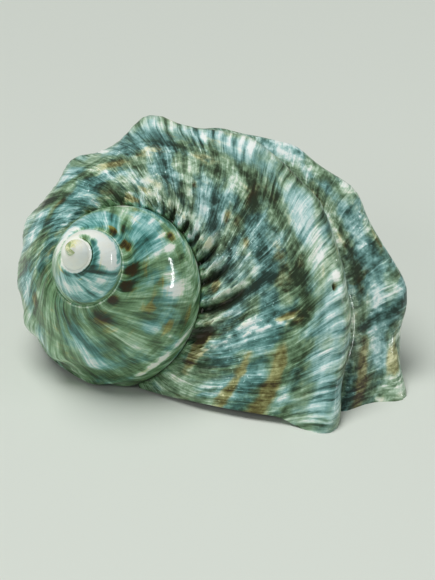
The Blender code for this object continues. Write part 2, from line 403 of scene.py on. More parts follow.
def crest_lines(time, place):
    """Thin dark growth lines across the crest, one in the hollow beside each flute."""
    line = growth_line(time, place)
    total = 0.0
    for centre, width, height, reach in FLUTES:
        across = np.exp(-(((place - CREST_LINE_PLACE) / (1.1 * reach)) ** 4))
        along = hill(line, centre - FLUTE_SHIFT + 1.8 * width, CREST_LINE_WIDTH)
        total = total + height / FLUTE_HEIGHT[1] * along * across
    return np.clip(total, 0.0, 1.0)


print("flutes on the crest:", len(FLUTES))

# %% Unevenness
# Waves: (height, how many, fastest along time, steepest across, seed).
UNEVEN = [(0.00022, 9, 14.0, 2.5, 3), (0.00012, 9, 34.0, 2.5, 5)]
LUMPS = [(0.8, 10, 60.0, 12.0, 17), (0.5, 12, 150.0, 30.0, 23)]


def wave_set(time, place, height, count, fastest, steepest, seed):
    pick = np.random.default_rng(seed)
    total = 0.0
    for _ in range(count):
        beat_time, beat_place = pick.uniform(0.2 * fastest, fastest), pick.uniform(-steepest, steepest)
        phase = pick.uniform(0.0, math.tau)
        total = total + np.sin(beat_time * time + beat_place * place + phase)
    return height * total / math.sqrt(count)


def waves(time, place, sets):
    """A smooth uneven surface: sets of waves, each about as high as its height says."""
    return sum(wave_set(time, place, *numbers) for numbers in sets)


print("unevenness at the middle of the lip:", round(float(waves(0.0, 4.0, UNEVEN)) * 1000, 2), "mm")

# %% Scars and the pit
SCARS = [(-0.62, 0.95, -0.47, 0.42), (-0.54, 1.0, -0.50, 2.05)]  # (time, place) of both ends
SCAR_HEIGHT, SCAR_FADES = 0.00035, 0.15  # metres, and the places over which a scar's ends fade
PIT_TIME, PIT_PLACE, PIT_DEPTH = -0.625, 2.76, 0.0028
PIT_LONG, PIT_WIDE = 0.022, 0.06


def scar_line(time, place, width=0.016):
    """How near a point is to an old lip, from 0 to 1, along a slightly jagged line."""
    near = np.zeros(np.broadcast(time, place).shape)
    for first_time, first_place, last_time, last_place in SCARS:
        share = np.clip((place - first_place) / (last_place - first_place), 0.0, 1.0)
        jag = 0.018 * np.sin(19.0 * place + 7.0 * first_time) + 0.010 * np.sin(47.0 * place)
        line = first_time + (last_time - first_time) * share + jag
        low, high = sorted((first_place, last_place))
        inside = after(place, low - SCAR_FADES, SCAR_FADES) * before(place, high + SCAR_FADES, SCAR_FADES)
        near = np.maximum(near, inside * hill(time, line, width))
    return near


def pit(time, place, size=1.0):
    return hill(time, PIT_TIME, PIT_LONG * size) * hill(place, PIT_PLACE, PIT_WIDE * size)


print("scars:", len(SCARS), "- depth of the pit:", PIT_DEPTH * 1000, "mm")

# %% All the relief together
TUBE_HEIGHT, TUBE_LONG, TUBE_WIDE = 0.0011, 0.075, 0.11  # the swelling round the pit
LOW_RIDGE_PLACE, LOW_RIDGE_WIDTH, LOW_RIDGE_HEIGHT = 4.22, 0.10, 0.0010  # between the two keels
SEAM_THREAD = 0.0008  # metres, the raised thread beside the young whorls' seam, at the size of the lip
THREAD_PLACE, THREAD_WIDTH = 0.13, 0.06
LUMP_HEIGHT = 0.00042  # metres, of the lumps that stand beside the folds


def relief(time, place):
    """Metres above the smooth wall. Only the last whorl is free of the next, so only it has relief."""
    free = after(time, -TURN, 1.0)
    at_lip = before(time, 0.0, 0.12)
    clear = after(place, 0.0, 0.2) * before(place, FOOT, 1.0)
    lumps = waves(time, place, LUMPS)
    beside_seam = after(place, 0.0, 0.15) * (1.0 - after(place, 0.5, 0.9)) * after(time, *FOLDED)
    heights = waves(time, place, UNEVEN) * clear * at_lip
    heights = heights + folds(time, place) * (0.85 + 0.55 * lumps) + LUMP_HEIGHT * lumps * beside_seam
    heights = heights + flutes(time, place) * at_lip
    low_ridge = hill(place, LOW_RIDGE_PLACE, LOW_RIDGE_WIDTH) * before(time, -0.35, 0.4)
    heights = heights + LOW_RIDGE_HEIGHT * low_ridge
    tube = hill(time, PIT_TIME + 0.01, TUBE_LONG) * hill(place, PIT_PLACE + 0.06, TUBE_WIDE)
    heights = heights + TUBE_HEIGHT * tube - PIT_DEPTH * pit(time, place)
    heights = heights + SCAR_HEIGHT * scar_line(time, place)
    thread = SEAM_THREAD * np.exp(GROWTH_RATE * time) * hill(place, THREAD_PLACE, THREAD_WIDTH)
    return heights * free + thread * (1.0 - free) * after(place, 0.0, THREAD_WIDTH)


sample = relief(np.linspace(-TURN, 0.0, 400)[:, None], UPPER[None, :]) * 1000
print("relief: from", sample.min().round(1), "to", sample.max().round(1), "mm")

# %% [markdown]
# ## Building the mesh
#
# A grid operator makes each sheet, and its points are then moved to where the growth law puts them. Every
# point also keeps its time and place, which become the shell's UV map. The sheets share their edge
# points, so merging the doubles sews them into one closed skin: outside, underside, hollow, lip and
# callus.

# %% Sheets and strips
OUTSIDE, INSIDE = 0, 1
bm = bmesh.new()
names, skins = [], []  # the (time, place) of each point, and which skin it belongs to


def sheet(grid, skin):
    """A sheet of quads over rows and columns of (x, y, z, time, place)."""
    rows, columns = grid.shape[:2]
    made = bmesh.ops.create_grid(bm, x_segments=columns - 1, y_segments=rows - 1, size=1.0)
    for vert, point in zip(made["verts"], grid[..., :3].reshape(-1, 3)):
        vert.co = point
    names.append(grid[..., 3:].reshape(-1, 2))
    skins.append(np.full(rows * columns, skin))


def strip(first, second, skin):
    """A strip between two chains of points. The shorter one repeats some, which are merged later."""
    count = max(len(first), len(second))
    picks = [np.rint(np.linspace(0, len(chain) - 1, count)).astype(int) for chain in (first, second)]
    sheet(np.stack([first[picks[0]], second[picks[1]]]), skin)


def named(points, time, place):
    label = [np.broadcast_to(value, points.shape[:-1])[..., None] for value in (time, place)]
    return np.concatenate([points, *label], axis=-1)


def outside(times, places, lips):
    """The outside's points in rows of one time. None may pass the solid's box, by however little."""
    times = times[:, None]
    angles = lips[None, :] + times
    points = in_space(angles, section(angles, places[None, :], relief=relief(times, places[None, :])))
    return named(np.clip(points, *cad_box), times, places[None, :])


# %% [markdown]
# ### The outside
#
# The last whorl shows the most, so its rows are the finest. The whorl before is wound in the same way,
# only coarser, and the early whorls end in a small round tip. Half of each earlier whorl lies buried
# under the next one. A seam could be cut where two whole whorls meet, but it is known in advance: the
# last whorl starts from place 7 of the one before, so each sheet simply stops there.

# %% The whorls
FINE_ROWS, COARSE_ROWS = 520, 120  # rows in one turn of time
last = -TURN * np.arange(FINE_ROWS, -1, -1) / FINE_ROWS
whorl_before = -TURN - TURN * np.arange(COARSE_ROWS, -1, -1) / COARSE_ROWS
early_rows = round((SPIRAL_TURNS * math.tau / TURN - 2.0) * COARSE_ROWS)
early = -2.0 * TURN - TURN * np.arange(early_rows, -1, -1) / COARSE_ROWS

last_upper = outside(last, UPPER, upper_lip)
last_under = outside(last, UNDER, under_lip)
before_upper = outside(whorl_before, UPPER, upper_lip)
sheet(last_upper, OUTSIDE)
sheet(last_under, OUTSIDE)
sheet(before_upper[:, :-1], OUTSIDE)
sheet(outside(early, UPPER, upper_lip), OUTSIDE)

# The whorl before has fewer rows than the last one, so a strip sews its edge to the last whorl's seam.
seam = last_upper[:, 0].copy()
seam[:, 3] -= TURN
seam[:, 4] = SEAM_BELOW
strip(before_upper[:, -2], seam, OUTSIDE)
print("outside points:", len(bm.verts))

# %% [markdown]
# ## The hollow
#
# Behind the mouth the wall is a few millimetres thick. Rings that follow the lip, the columella and the
# whorl before are swept back from the mouth, and a strip round the rim turns the sharp edge of the lip.
# Solidify could thicken the outside instead, but it would fill the seams, and it knows nothing of the
# columella.

# %% The hollow and the rim
WALL, LIP_WALL, CALLUS = 0.0030, 0.0013, 0.0012  # metres; the callus is the glaze on the whorl before
MOUTH_DEPTH, RING_COUNT, COLUMELLA_POINTS = 4.2, 84, 17
COLUMELLA_SHARE = 1.3  # the columella inside is this much thicker than the foot of the outside
RIM_HEIGHT = 0.0003  # metres that the mouth's inner rim stands above the table
places = np.concatenate([UPPER, UNDER[1:]])
lip = np.concatenate([upper_lip, under_lip[1:]])
foot_out, foot_along = GROWN[-1]
columella_out = COLUMELLA_SHARE * foot_out
rings = []
for time in -MOUTH_DEPTH * np.arange(RING_COUNT + 1) / RING_COUNT:
    wall = LIP_WALL + (WALL - LIP_WALL) * before(time, 0.0, 0.7)
    inner = section(lip + time, places, crests=False, inset=wall)
    off_seam = CALLUS * (1.0 - after(places, 0.0, 1.2))
    inner[:, 0] = np.maximum(inner[:, 0] + off_seam, columella_out * growth(lip + time))
    outer_chain = named(in_space(lip + time, inner), time, places)
    behind = UNDER[1:][::-1]
    behind_angles = under_lip[1:][::-1] + time - TURN
    parietal = section(behind_angles, behind, inset=-CALLUS)
    parietal[:, 0] = np.maximum(parietal[:, 0], columella_out * growth(behind_angles))
    parietal_chain = named(in_space(behind_angles, parietal), time, 24.0 - behind)
    along = np.linspace(inner[-1, 1], parietal[0, 1], COLUMELLA_POINTS + 2)[1:-1]
    out = columella_out / foot_along * along
    twist = np.linspace(0.0, LAG, COLUMELLA_POINTS + 2)[1:-1]
    columella = in_space(lip[-1] + time + twist, np.stack([out, along], axis=-1))
    rings.append(np.concatenate([outer_chain, named(columella, time, 12.0), parietal_chain]))
rings = np.array(rings)
rings[0, :, 2] = np.maximum(rings[0, :, 2], RIM_HEIGHT)
sheet(np.concatenate([rings, rings[:, :1]], axis=1), INSIDE)

rim = rings[0]
behind_count = len(UNDER) - 1
strip(np.concatenate([last_upper[-1], last_under[-1, 1:]]), rim[:len(places)], OUTSIDE)
strip(last_under[::-1, -1], rim[len(places) - 1:len(rim) - behind_count + 1], INSIDE)
strip(last_under[0, ::-1], np.concatenate([rim[-behind_count:], rim[:1]]), INSIDE)
far_end = np.concatenate([rings[-1], rings[-1, :1]])
strip(far_end[:len(places)], far_end[:len(places) - 2:-1], INSIDE)
print("points with the hollow:", len(bm.verts))

# %% [markdown]
# ## Where the markings lie
#
# Streaks along the growth lines cover the whole shell, and a noise texture can make those. The patches
# that tell this shell from its neighbours could be painted on an image. Here they are listed one by one,
# each as a soft spot with a time and a place, and the shader breaks their edges up, so they stay sharp at
# any size. Each point keeps five amounts: how light or dark it is, how ochre, how blue, how mottled, and
# how far it lies on the crest.

# %% Spots listed one by one
# Each spot: (time, place, half length in time, half width in place, amount).
PALE_AND_REFLECTION_SPOTS = [
    (-0.12, 0.45, 0.22, 0.22, 0.16), (-0.45, 0.42, 0.30, 0.03, 0.30), (-0.59, 1.02, 0.06, 0.20, 0.22),
    (-0.49, 1.28, 0.05, 0.22, 0.14), (-0.54, 1.60, 0.02, 0.24, 0.22), (-0.14, 1.95, 0.11, 0.12, 0.42),
    (-0.90, 2.45, 0.28, 0.32, 0.20), (-0.30, 2.60, 0.28, 0.35, 0.16), (-0.66, 2.80, 0.07, 0.10, 0.45),
    (-1.60, 1.80, 0.18, 0.24, 0.18), (-1.65, 2.65, 0.40, 0.30, 0.10), (-2.17, 1.40, 0.05, 1.00, 0.18),
    (-2.14, 2.70, 0.10, 0.40, 0.16), (-2.50, 2.60, 0.10, 0.35, 0.20), (-2.82, 2.35, 0.11, 0.30, 0.28),
    (-3.42, 1.95, 0.12, 0.40, 0.26), (-4.02, 2.10, 0.10, 0.35, 0.20), (-1.45, 1.00, 0.02, 0.12, 0.30),
    (-1.18, 0.98, 0.03, 0.12, 0.25), (-1.88, 1.12, 0.10, 0.10, 0.22), (-2.35, 0.95, 0.14, 0.18, 0.16),
    (-0.14, 4.90, 0.06, 0.14, 0.22), (-0.41, 4.88, 0.05, 0.10, 0.22), (-0.62, 4.65, 0.05, 0.12, 0.24),
    (-1.15, 4.66, 0.30, 0.08, 0.12), (-1.16, 5.06, 0.25, 0.06, 0.08), (-1.04, 2.30, 0.09, 0.22, 0.16),
    (-0.83, 2.55, 0.08, 0.22, 0.05), (-1.54, 2.84, 0.08, 0.20, 0.18), (-1.45, 1.69, 0.09, 0.22, 0.16),
    (-0.18, 4.60, 0.06, 0.12, 0.26), (-2.10, 1.85, 0.09, 0.14, 0.26), (-1.90, 1.15, 0.04, 0.10, 0.28),
    (-1.85, 2.56, 0.08, 0.12, 0.20), (-1.50, 1.59, 0.10, 0.16, 0.16), (-1.25, 4.80, 0.18, 0.25, 0.18),
    (-4.55, 1.30, 0.05, 0.60, 0.10), (-4.30, 1.30, 0.04, 0.50, 0.14), (-7.13, 3.15, 0.06, 0.50, 0.50),
    (-7.36, 3.25, 0.05, 0.55, 0.42), (-7.63, 3.50, 0.05, 0.60, 0.42), (-7.07, 2.00, 0.05, 0.45, 0.42),
    (-7.85, 2.70, 0.07, 0.90, 0.26), (-6.58, 4.20, 0.04, 1.50, 0.26), (-6.48, 1.60, 0.05, 0.80, 0.18),
    (-5.15, 2.60, 0.08, 1.00, 0.26), (-6.80, 2.80, 0.07, 0.60, 0.26), (-6.55, 3.10, 0.08, 0.70, 0.22),
    # The patch at times -5.3 to -5.8 by the lower keel is partly pale shell and partly painted reflection.
    (-5.34, 4.92, 0.07, 0.35, 0.55), (-5.48, 4.92, 0.08, 0.38, 0.60), (-5.63, 5.02, 0.08, 0.45, 0.55),
    (-5.76, 5.50, 0.05, 0.40, 0.40), (-5.14, 2.90, 0.05, 0.45, 0.18), (-6.52, 3.45, 0.05, 0.60, 0.14),
    (-5.80, 5.30, 0.07, 1.00, 0.20), (-9.50, 1.00, 0.60, 0.60, 0.35), (-8.70, 1.60, 0.50, 0.80, 0.20),
    (-7.82, 4.20, 0.10, 0.80, 0.24), (-6.75, 5.90, 0.35, 0.90, 0.10), (-8.10, 4.80, 0.20, 0.80, 0.20),
    (-13.45, 3.15, 0.90, 1.20, 0.80), (-12.27, 2.80, 0.10, 0.60, 0.30), (-14.6, 4.50, 0.45, 2.60, 0.90),
    (-13.2, 0.00, 2.60, 0.48, 0.80), (-10.2, 1.00, 0.60, 0.60, 0.25), (-11.3, 2.60, 0.35, 0.90, 0.16),
    (-2.10, 5.90, 0.30, 0.22, 0.22), (-3.30, 6.30, 0.25, 0.25, 0.20), (-1.30, 6.60, 0.20, 0.35, 0.20),
    (-2.60, 7.40, 0.35, 0.30, 0.20), (-4.20, 6.00, 0.20, 0.40, 0.18), (-0.70, 7.30, 0.15, 0.40, 0.20),
]
DARK_SPOTS = [
    (-0.83, 0.95, 0.04, 0.80, 0.42), (-1.62, 1.80, 0.14, 0.26, 0.26), (-2.04, 2.46, 0.13, 0.14, 0.28),
    (-0.03, 4.95, 0.04, 0.20, 0.18), (-1.17, 2.17, 0.05, 0.20, 0.24), (-0.91, 2.12, 0.05, 0.20, 0.22),
    (-1.26, 2.09, 0.06, 0.18, 0.20), (-1.47, 2.10, 0.07, 0.16, 0.18), (-2.03, 2.15, 0.14, 0.20, 0.14),
    (-0.70, 1.65, 0.15, 0.38, 0.16), (-0.70, 0.25, 0.09, 0.18, 0.30), (-1.30, 1.75, 0.05, 0.25, 0.26),
    (-0.52, 1.95, 0.05, 0.25, 0.30), (-1.95, 2.10, 0.14, 0.22, 0.20), (-0.70, 1.33, 0.70, 0.15, 0.10),
    (-0.60, 2.05, 0.50, 0.15, 0.10), (-0.62, 0.75, 0.30, 0.20, 0.10), (-2.45, 1.60, 0.12, 0.20, 0.20),
    (-2.75, 1.45, 0.10, 0.16, 0.12), (-3.10, 1.40, 0.22, 0.10, 0.18), (-4.25, 1.55, 0.10, 0.20, 0.24),
    (-3.80, 1.50, 0.14, 0.30, 0.14), (-4.30, 0.60, 0.10, 0.45, 0.20), (-3.42, 1.20, 0.10, 0.16, 0.14),
    (-0.50, 4.34, 0.55, 0.05, 0.26), (-1.00, 2.98, 0.22, 0.07, 0.20), (-7.08, 6.30, 0.07, 0.80, 0.36),
    (-5.70, 1.10, 0.22, 0.60, 0.24), (-5.35, 0.80, 0.10, 0.50, 0.20), (-6.30, 1.10, 0.08, 0.50, 0.18),
    (-5.20, 0.80, 0.15, 0.50, 0.14), (-6.20, 2.30, 0.30, 0.40, 0.14), (-5.40, 2.40, 0.35, 0.50, 0.10),
    (-6.15, 4.60, 0.25, 0.60, 0.16), (-13.2, 0.62, 1.60, 0.09, 0.80), (-13.2, 1.20, 1.10, 0.55, 0.22),
    (-12.1, 0.85, 0.35, 0.22, 0.45), (-12.9, 1.00, 0.30, 0.25, 0.30), (-11.5, 3.60, 0.60, 1.20, 0.16),
    (-11.2, 1.40, 0.30, 0.50, 0.20), (-14.0, 1.20, 0.12, 0.40, 0.30), (-11.3, 0.85, 0.30, 0.20, 0.40),
    (-12.55, 3.00, 0.07, 2.60, 0.38), (-11.75, 3.00, 0.10, 1.20, 0.24), (-11.4, 5.60, 0.40, 1.20, 0.28),
    (-12.0, 5.90, 0.25, 1.30, 0.16), (-10.8, 5.80, 0.30, 1.30, 0.18), (-3.12, 2.20, 0.09, 0.50, 0.20),
    (-3.72, 2.10, 0.09, 0.50, 0.20), (-1.70, 6.30, 0.16, 0.40, 0.20), (-2.85, 6.05, 0.14, 0.40, 0.22),
    (-3.70, 6.90, 0.20, 0.40, 0.20), (-2.10, 7.60, 0.20, 0.50, 0.18), (-0.95, 6.20, 0.10, 0.30, 0.20),
]
# Brown is dark and ochre at once.
BROWN_SPOTS = [
    (-8.22, 0.50, 0.14, 0.36, 0.60), (-7.80, 0.52, 0.10, 0.40, 0.58), (-7.58, 0.82, 0.07, 0.30, 0.52),
    (-7.11, 0.66, 0.11, 0.42, 0.74), (-6.96, 0.95, 0.05, 0.32, 0.40), (-6.75, 0.62, 0.12, 0.42, 0.72),
    (-6.60, 0.85, 0.05, 0.32, 0.34), (-6.41, 0.46, 0.12, 0.32, 0.60), (-5.85, 0.80, 0.16, 0.40, 0.34),
    (-7.28, 3.75, 0.07, 0.50, 0.50), (-6.71, 2.30, 0.07, 0.32, 0.36), (-7.90, 1.25, 0.08, 0.30, 0.26),
    (-0.49, 4.38, 0.08, 0.07, 0.34), (-0.35, 4.39, 0.05, 0.06, 0.24), (-1.42, 1.02, 0.035, 0.16, 0.46),
    (-1.80, 1.14, 0.020, 0.10, 0.36), (-0.84, 1.10, 0.03, 0.14, 0.40), (-2.66, 0.28, 0.07, 0.12, 0.30),
    (-0.68, 0.30, 0.12, 0.16, 0.30), (-1.32, 1.80, 0.05, 0.28, 0.22),
]
OCHRE_SPOTS = [
    (-0.15, 1.08, 0.24, 0.09, 1.00), (-0.12, 1.66, 0.27, 0.13, 1.05), (-0.50, 0.32, 0.20, 0.12, 0.70),
    (-0.54, 1.66, 0.02, 0.24, 0.75), (-0.49, 1.22, 0.08, 0.32, -0.60), (-1.12, 0.38, 0.05, 0.08, 0.85),
    (-1.31, 1.13, 0.05, 0.09, 0.45), (-1.76, 1.86, 0.14, 0.16, 0.30), (-0.92, 1.72, 0.10, 0.14, 0.30),
    (-1.15, 1.12, 0.05, 0.08, 0.60), (-2.65, 0.30, 0.10, 0.12, 0.50), (-2.38, 0.62, 0.08, 0.10, 0.50),
    (-2.50, 1.60, 0.14, 0.24, 0.45), (-3.10, 1.38, 0.22, 0.10, 0.50), (-4.22, 1.60, 0.10, 0.22, 0.65),
    (-3.90, 1.40, 0.20, 0.14, 0.35), (-0.45, 4.24, 0.50, 0.07, 0.70), (-0.10, 4.30, 0.20, 0.07, 0.60),
    (-2.10, 1.85, 0.11, 0.16, 0.55), (-2.19, 0.87, 0.10, 0.25, 0.35), (-0.14, 4.90, 0.06, 0.16, 0.80),
    (-0.23, 4.97, 0.04, 0.06, 0.50), (-0.60, 4.98, 0.30, 0.05, 0.35), (-4.00, 0.55, 0.40, 0.20, 0.20),
    (-8.20, 0.78, 0.12, 0.16, 0.75), (-7.62, 0.72, 0.12, 0.18, 0.65), (-6.10, 3.45, 0.11, 0.40, 0.75),
    (-6.28, 2.14, 0.08, 0.30, 0.60), (-7.30, 4.10, 0.05, 0.30, 0.55), (-7.95, 3.80, 0.05, 1.20, 0.40),
    (-6.20, 4.70, 0.12, 0.40, 0.40), (-12.4, 6.30, 0.10, 0.60, 0.45), (-11.0, 0.90, 0.25, 0.20, 0.45),
    (-11.9, 1.40, 0.14, 0.20, 0.35), (-2.40, 6.40, 0.35, 0.12, 0.60), (-3.60, 6.20, 0.30, 0.14, 0.55),
    (-1.20, 5.90, 0.25, 0.12, 0.55), (-1.70, 7.20, 0.45, 0.12, 0.50), (-3.20, 7.60, 0.40, 0.14, 0.50),
    (-6.45, 2.10, 0.22, 0.25, 0.25), (-5.72, 1.30, 0.14, 0.45, 0.45), (-7.00, 1.60, 0.30, 0.40, 0.30),
    (-5.70, 1.00, 0.10, 0.30, 0.20),
]
BLUE_SPOTS = [
    (-1.65, 1.05, 0.22, 0.35, 0.55), (-3.20, 0.75, 0.45, 0.45, 0.60), (-3.28, 1.10, 0.12, 0.18, 0.60),
    (-1.00, 2.40, 0.12, 0.25, 0.60), (-1.61, 0.94, 0.12, 0.30, 0.40), (-1.16, 1.46, 0.08, 0.18, 0.40),
    (-0.35, 2.60, 0.25, 0.35, 0.42), (-1.80, 2.55, 0.40, 0.35, 0.50), (-1.30, 2.60, 0.45, 0.30, 0.25),
    (-2.75, 1.20, 0.50, 0.22, 0.60), (-0.60, 4.62, 0.12, 0.20, 0.50), (-0.16, 4.62, 0.10, 0.16, 0.45),
    (-13.00, 3.80, 1.80, 3.00, 0.35), (-7.60, 2.50, 0.28, 1.20, 0.75), (-5.20, 2.20, 0.14, 1.20, 0.50),
    (-0.49, 1.20, 0.09, 0.34, 0.80), (-0.14, 1.98, 0.12, 0.14, 0.40), (-0.65, 1.33, 0.75, 0.19, 0.60),
    (-0.60, 0.70, 0.50, 0.22, 0.30), (-1.00, 1.75, 0.10, 0.40, 0.35), (-2.20, 2.00, 0.20, 0.80, 0.40),
    (-0.70, 4.60, 0.45, 0.16, 0.55), (-0.20, 4.00, 0.20, 0.20, 0.35), (-3.90, 0.70, 0.35, 0.40, 0.40),
    (-8.60, 1.50, 0.60, 1.00, 0.75), (-7.60, 2.80, 0.40, 0.80, 0.55), (-6.50, 2.90, 0.20, 0.60, 0.45),
    (-7.50, 5.20, 0.50, 1.00, 0.25), (-9.60, 1.60, 0.50, 0.80, 0.35), (-13.2, 1.20, 0.90, 0.40, 0.90),
    (-11.7, 2.80, 0.90, 2.20, 0.75), (-13.3, 5.60, 0.50, 1.20, 0.60), (-10.9, 2.60, 0.50, 1.20, 0.55),
    (-2.82, 2.30, 0.16, 0.35, 0.80), (-3.42, 1.95, 0.16, 0.45, 0.80), (-4.02, 2.10, 0.16, 0.40, 0.70),
    (-2.00, 6.70, 0.50, 0.30, 0.60), (-3.20, 6.00, 0.40, 0.25, 0.55), (-0.90, 6.90, 0.40, 0.35, 0.55),
    (-3.90, 7.30, 0.50, 0.40, 0.50), (-2.60, 8.00, 0.60, 0.30, 0.45),
]


SPOT_EDGE = 1.6  # 1 gives a spot that fades from its middle, and more gives it a flatter top


def soft_spots(time, place, spots):
    """The sum of the spots at each point. A spot leans as the growth lines through it do."""
    total = np.zeros(len(time))
    for centre_time, centre_place, long, wide, strength in spots:
        along = (growth_line(time, place) - growth_line(centre_time, centre_place)) / long
        across = (place - centre_place) / wide
        total += strength * np.exp(-((along**2 + across**2) ** SPOT_EDGE))
    return total


all_spots = PALE_AND_REFLECTION_SPOTS + DARK_SPOTS + BROWN_SPOTS + OCHRE_SPOTS + BLUE_SPOTS
print("spots placed by hand:", len(all_spots))

# %% [markdown]
# ### Markings that follow the shape
#
# Wear and painted shade make the rest of the pattern. Polishing reaches the ridges of the folds, and the
# valleys between them are darker, partly with dirt and partly with painted shade. The crease of the last
# seam is a line of painted shade. The crest is rubbed smooth, so it is calmer than the flank, and the top
# of the spire is ground down to white. All of these could be more spots, but each follows from a point's
# age and place, so a few steps and bands are enough.

# %% Light, ochre, blue, mottle and crest
# Bands along the whorls: (amount of light, place, half width, start, fade in, end, fade out), in times.
# They are the worn crest, a line of painted shade in the crease of the last seam, the thread beside the
# earlier ones, and the rim of the whorl before.
BANDS = [
    (0.15, 2.75, 0.45, -4.9, 0.5, 1.0, 1.0), (-0.45, 0.0, 0.05, -5.2, 0.3, 1.0, 1.0),
    (0.30, 0.14, 0.06, -30.0, 1.0, -4.9, 0.6), (0.22, 6.72, 0.13, -9.8, 0.8, -5.3, 0.2),
]
# Light by age: (amount, the time before which it is added, the span). The last turns the white tip cream.
AGE_LIGHT = [(0.07, -5.2, 0.6), (0.11, -10.1, 0.6), (1.30, -14.7, 0.8), (-1.16, -19.7, 1.4)]
TIP_OCHRE, TIP_FROM, TIP_FADE = 0.40, -19.7, 1.2
# What each form in the relief adds to the light and to the ochre. The darkening in the valleys is partly
# dirt and partly painted shade.
VALLEY_DIRT_AND_SHADE, RIDGE, PIT, SCAR = (-0.52, 0.10), (0.30, 0.22), (-0.90, 0.90), (0.50, 0.35)
FULL_RIDGE = 1.0 / 600.0  # metres of fold that count as a whole ridge
CREST_LIGHT, FLANK_LIGHT, CREST_LINE_LIGHT = 0.06, -0.02, -0.34
CREST_FROM, CREST_TO, CREST_FADE = 2.0, 3.3, 0.4  # places
CREST_AGE = (-4.6, 1.0)  # the time from which the crest is marked, and its fade
LEAST_MOTTLED = 0.12
CALMER_CREST, CALMER_LIP, CALMER_BACK = 0.75, 0.35, 0.40  # how much of the mottle each of them loses
CRUSTED = 0.15  # how much more of it there is beside the seam


def lightness(time, place, on_crest, valley, ridge):
    light = soft_spots(time, place, PALE_AND_REFLECTION_SPOTS) - soft_spots(time, place, DARK_SPOTS)
    light = light - soft_spots(time, place, BROWN_SPOTS)
    for strength, centre, width, start, fade_in, end, fade_out in BANDS:
        along = after(time, start, fade_in) * before(time, end, fade_out)
        light = light + strength * hill(place, centre, width) * along
    light = light + sum(strength * before(time, end, span) for strength, end, span in AGE_LIGHT)
    light = light + VALLEY_DIRT_AND_SHADE[0] * valley + RIDGE[0] * ridge + PIT[0] * pit(time, place, 0.8)
    light = light + SCAR[0] * scar_line(time, place, 0.012)
    light = light + CREST_LINE_LIGHT * crest_lines(time, place) * after(time, *CREST_AGE)
    return light + CREST_LIGHT * on_crest + FLANK_LIGHT * after(time, -5.0, 0.5) * before(place, 2.3, 0.3)


def mottling(time, place, on_crest):
    near_lip = after(time, -0.9, 0.5) * before(place, 3.0, 0.3)
    far_back = before(time, -2.2, 0.9) * before(place, 5.0, 0.6)
    crusted = before(place, 1.3, 0.5) * after(time, *FOLDED)
    mottled = after(time, -5.0, 1.2) * after(place, 0.0, 0.3) * (1.0 - CALMER_CREST * on_crest)
    mottled = mottled * (1.0 - CALMER_LIP * near_lip) * (1.0 - CALMER_BACK * far_back)
    return LEAST_MOTTLED + (1.0 - LEAST_MOTTLED) * mottled * (1.0 + CRUSTED * crusted)


def markings(time, place):
    """The five amounts at each point."""
    on_crest = after(place, CREST_FROM, CREST_FADE) * before(place, CREST_TO, CREST_FADE)
    valley = np.clip(folds(time, place, valleys_only=True), 0.0, 1.0)
    ridge = np.clip(folds(time, place) / FULL_RIDGE, 0.0, 1.0) * after(time, *FOLDED)
    ochre = soft_spots(time, place, OCHRE_SPOTS) + soft_spots(time, place, BROWN_SPOTS)
    ochre = ochre + VALLEY_DIRT_AND_SHADE[1] * valley + RIDGE[1] * ridge + PIT[1] * pit(time, place, 1.1)
    ochre = ochre + SCAR[1] * scar_line(time, place, 0.024) + TIP_OCHRE * before(time, TIP_FROM, TIP_FADE)
    return {
        "light": lightness(time, place, on_crest, valley, ridge),
        "ochre": np.clip(ochre, -0.6, 1.0),  # below 0 it holds back the shader's own ochre
        "blue": np.clip(soft_spots(time, place, BLUE_SPOTS), 0.0, 1.0),
        "mottled": mottling(time, place, on_crest),
        "crest": on_crest * after(time, *CREST_AGE),
    }


sample = markings(np.full(len(UPPER), -1.0), UPPER)["light"]
print("light, one radian back from the lip: from", sample.min().round(2), "to", sample.max().round(2))

# %% [markdown]
# ## Sewing it up
#
# Each corner of each face first gets its time and place as UV, because a point on a seam has two names,
# one on each whorl, and the five amounts as attributes. Then the doubles are merged. The open edge at the
# tip could be filled flat, but a real one is a tiny dome, so the edge is extruded in rings that close to
# a small round cap.

# %% One closed mesh
names, skins = np.concatenate(names), np.concatenate(skins)
mesh = bpy.data.meshes.new("turban_shell_skin")
bm.to_mesh(mesh)
bm.free()
corner_points = np.zeros(len(mesh.loops), np.int32)
mesh.loops.foreach_get("vertex_index", corner_points)
first_corners = np.zeros(len(mesh.polygons), np.int32)
mesh.polygons.foreach_get("loop_start", first_corners)
mesh.polygons.foreach_set("material_index", skins[corner_points[first_corners]].astype(np.int32))
growth_map = mesh.uv_layers.new(name="growth")
times, places_across = names[:, 0], names[:, 1]
lengths = line_length(growth_line(times, places_across))
corner_uvs = np.stack([lengths, places_across], axis=-1)[corner_points]
growth_map.data.foreach_set("uv", corner_uvs.astype(np.float32).ravel())
for tint, amounts in markings(times, places_across).items():
    layer = mesh.attributes.new(name=tint, type="FLOAT", domain="CORNER")
    layer.data.foreach_set("value", amounts[corner_points].astype(np.float32))

print("face corners with a UV and five amounts:", len(mesh.loops))

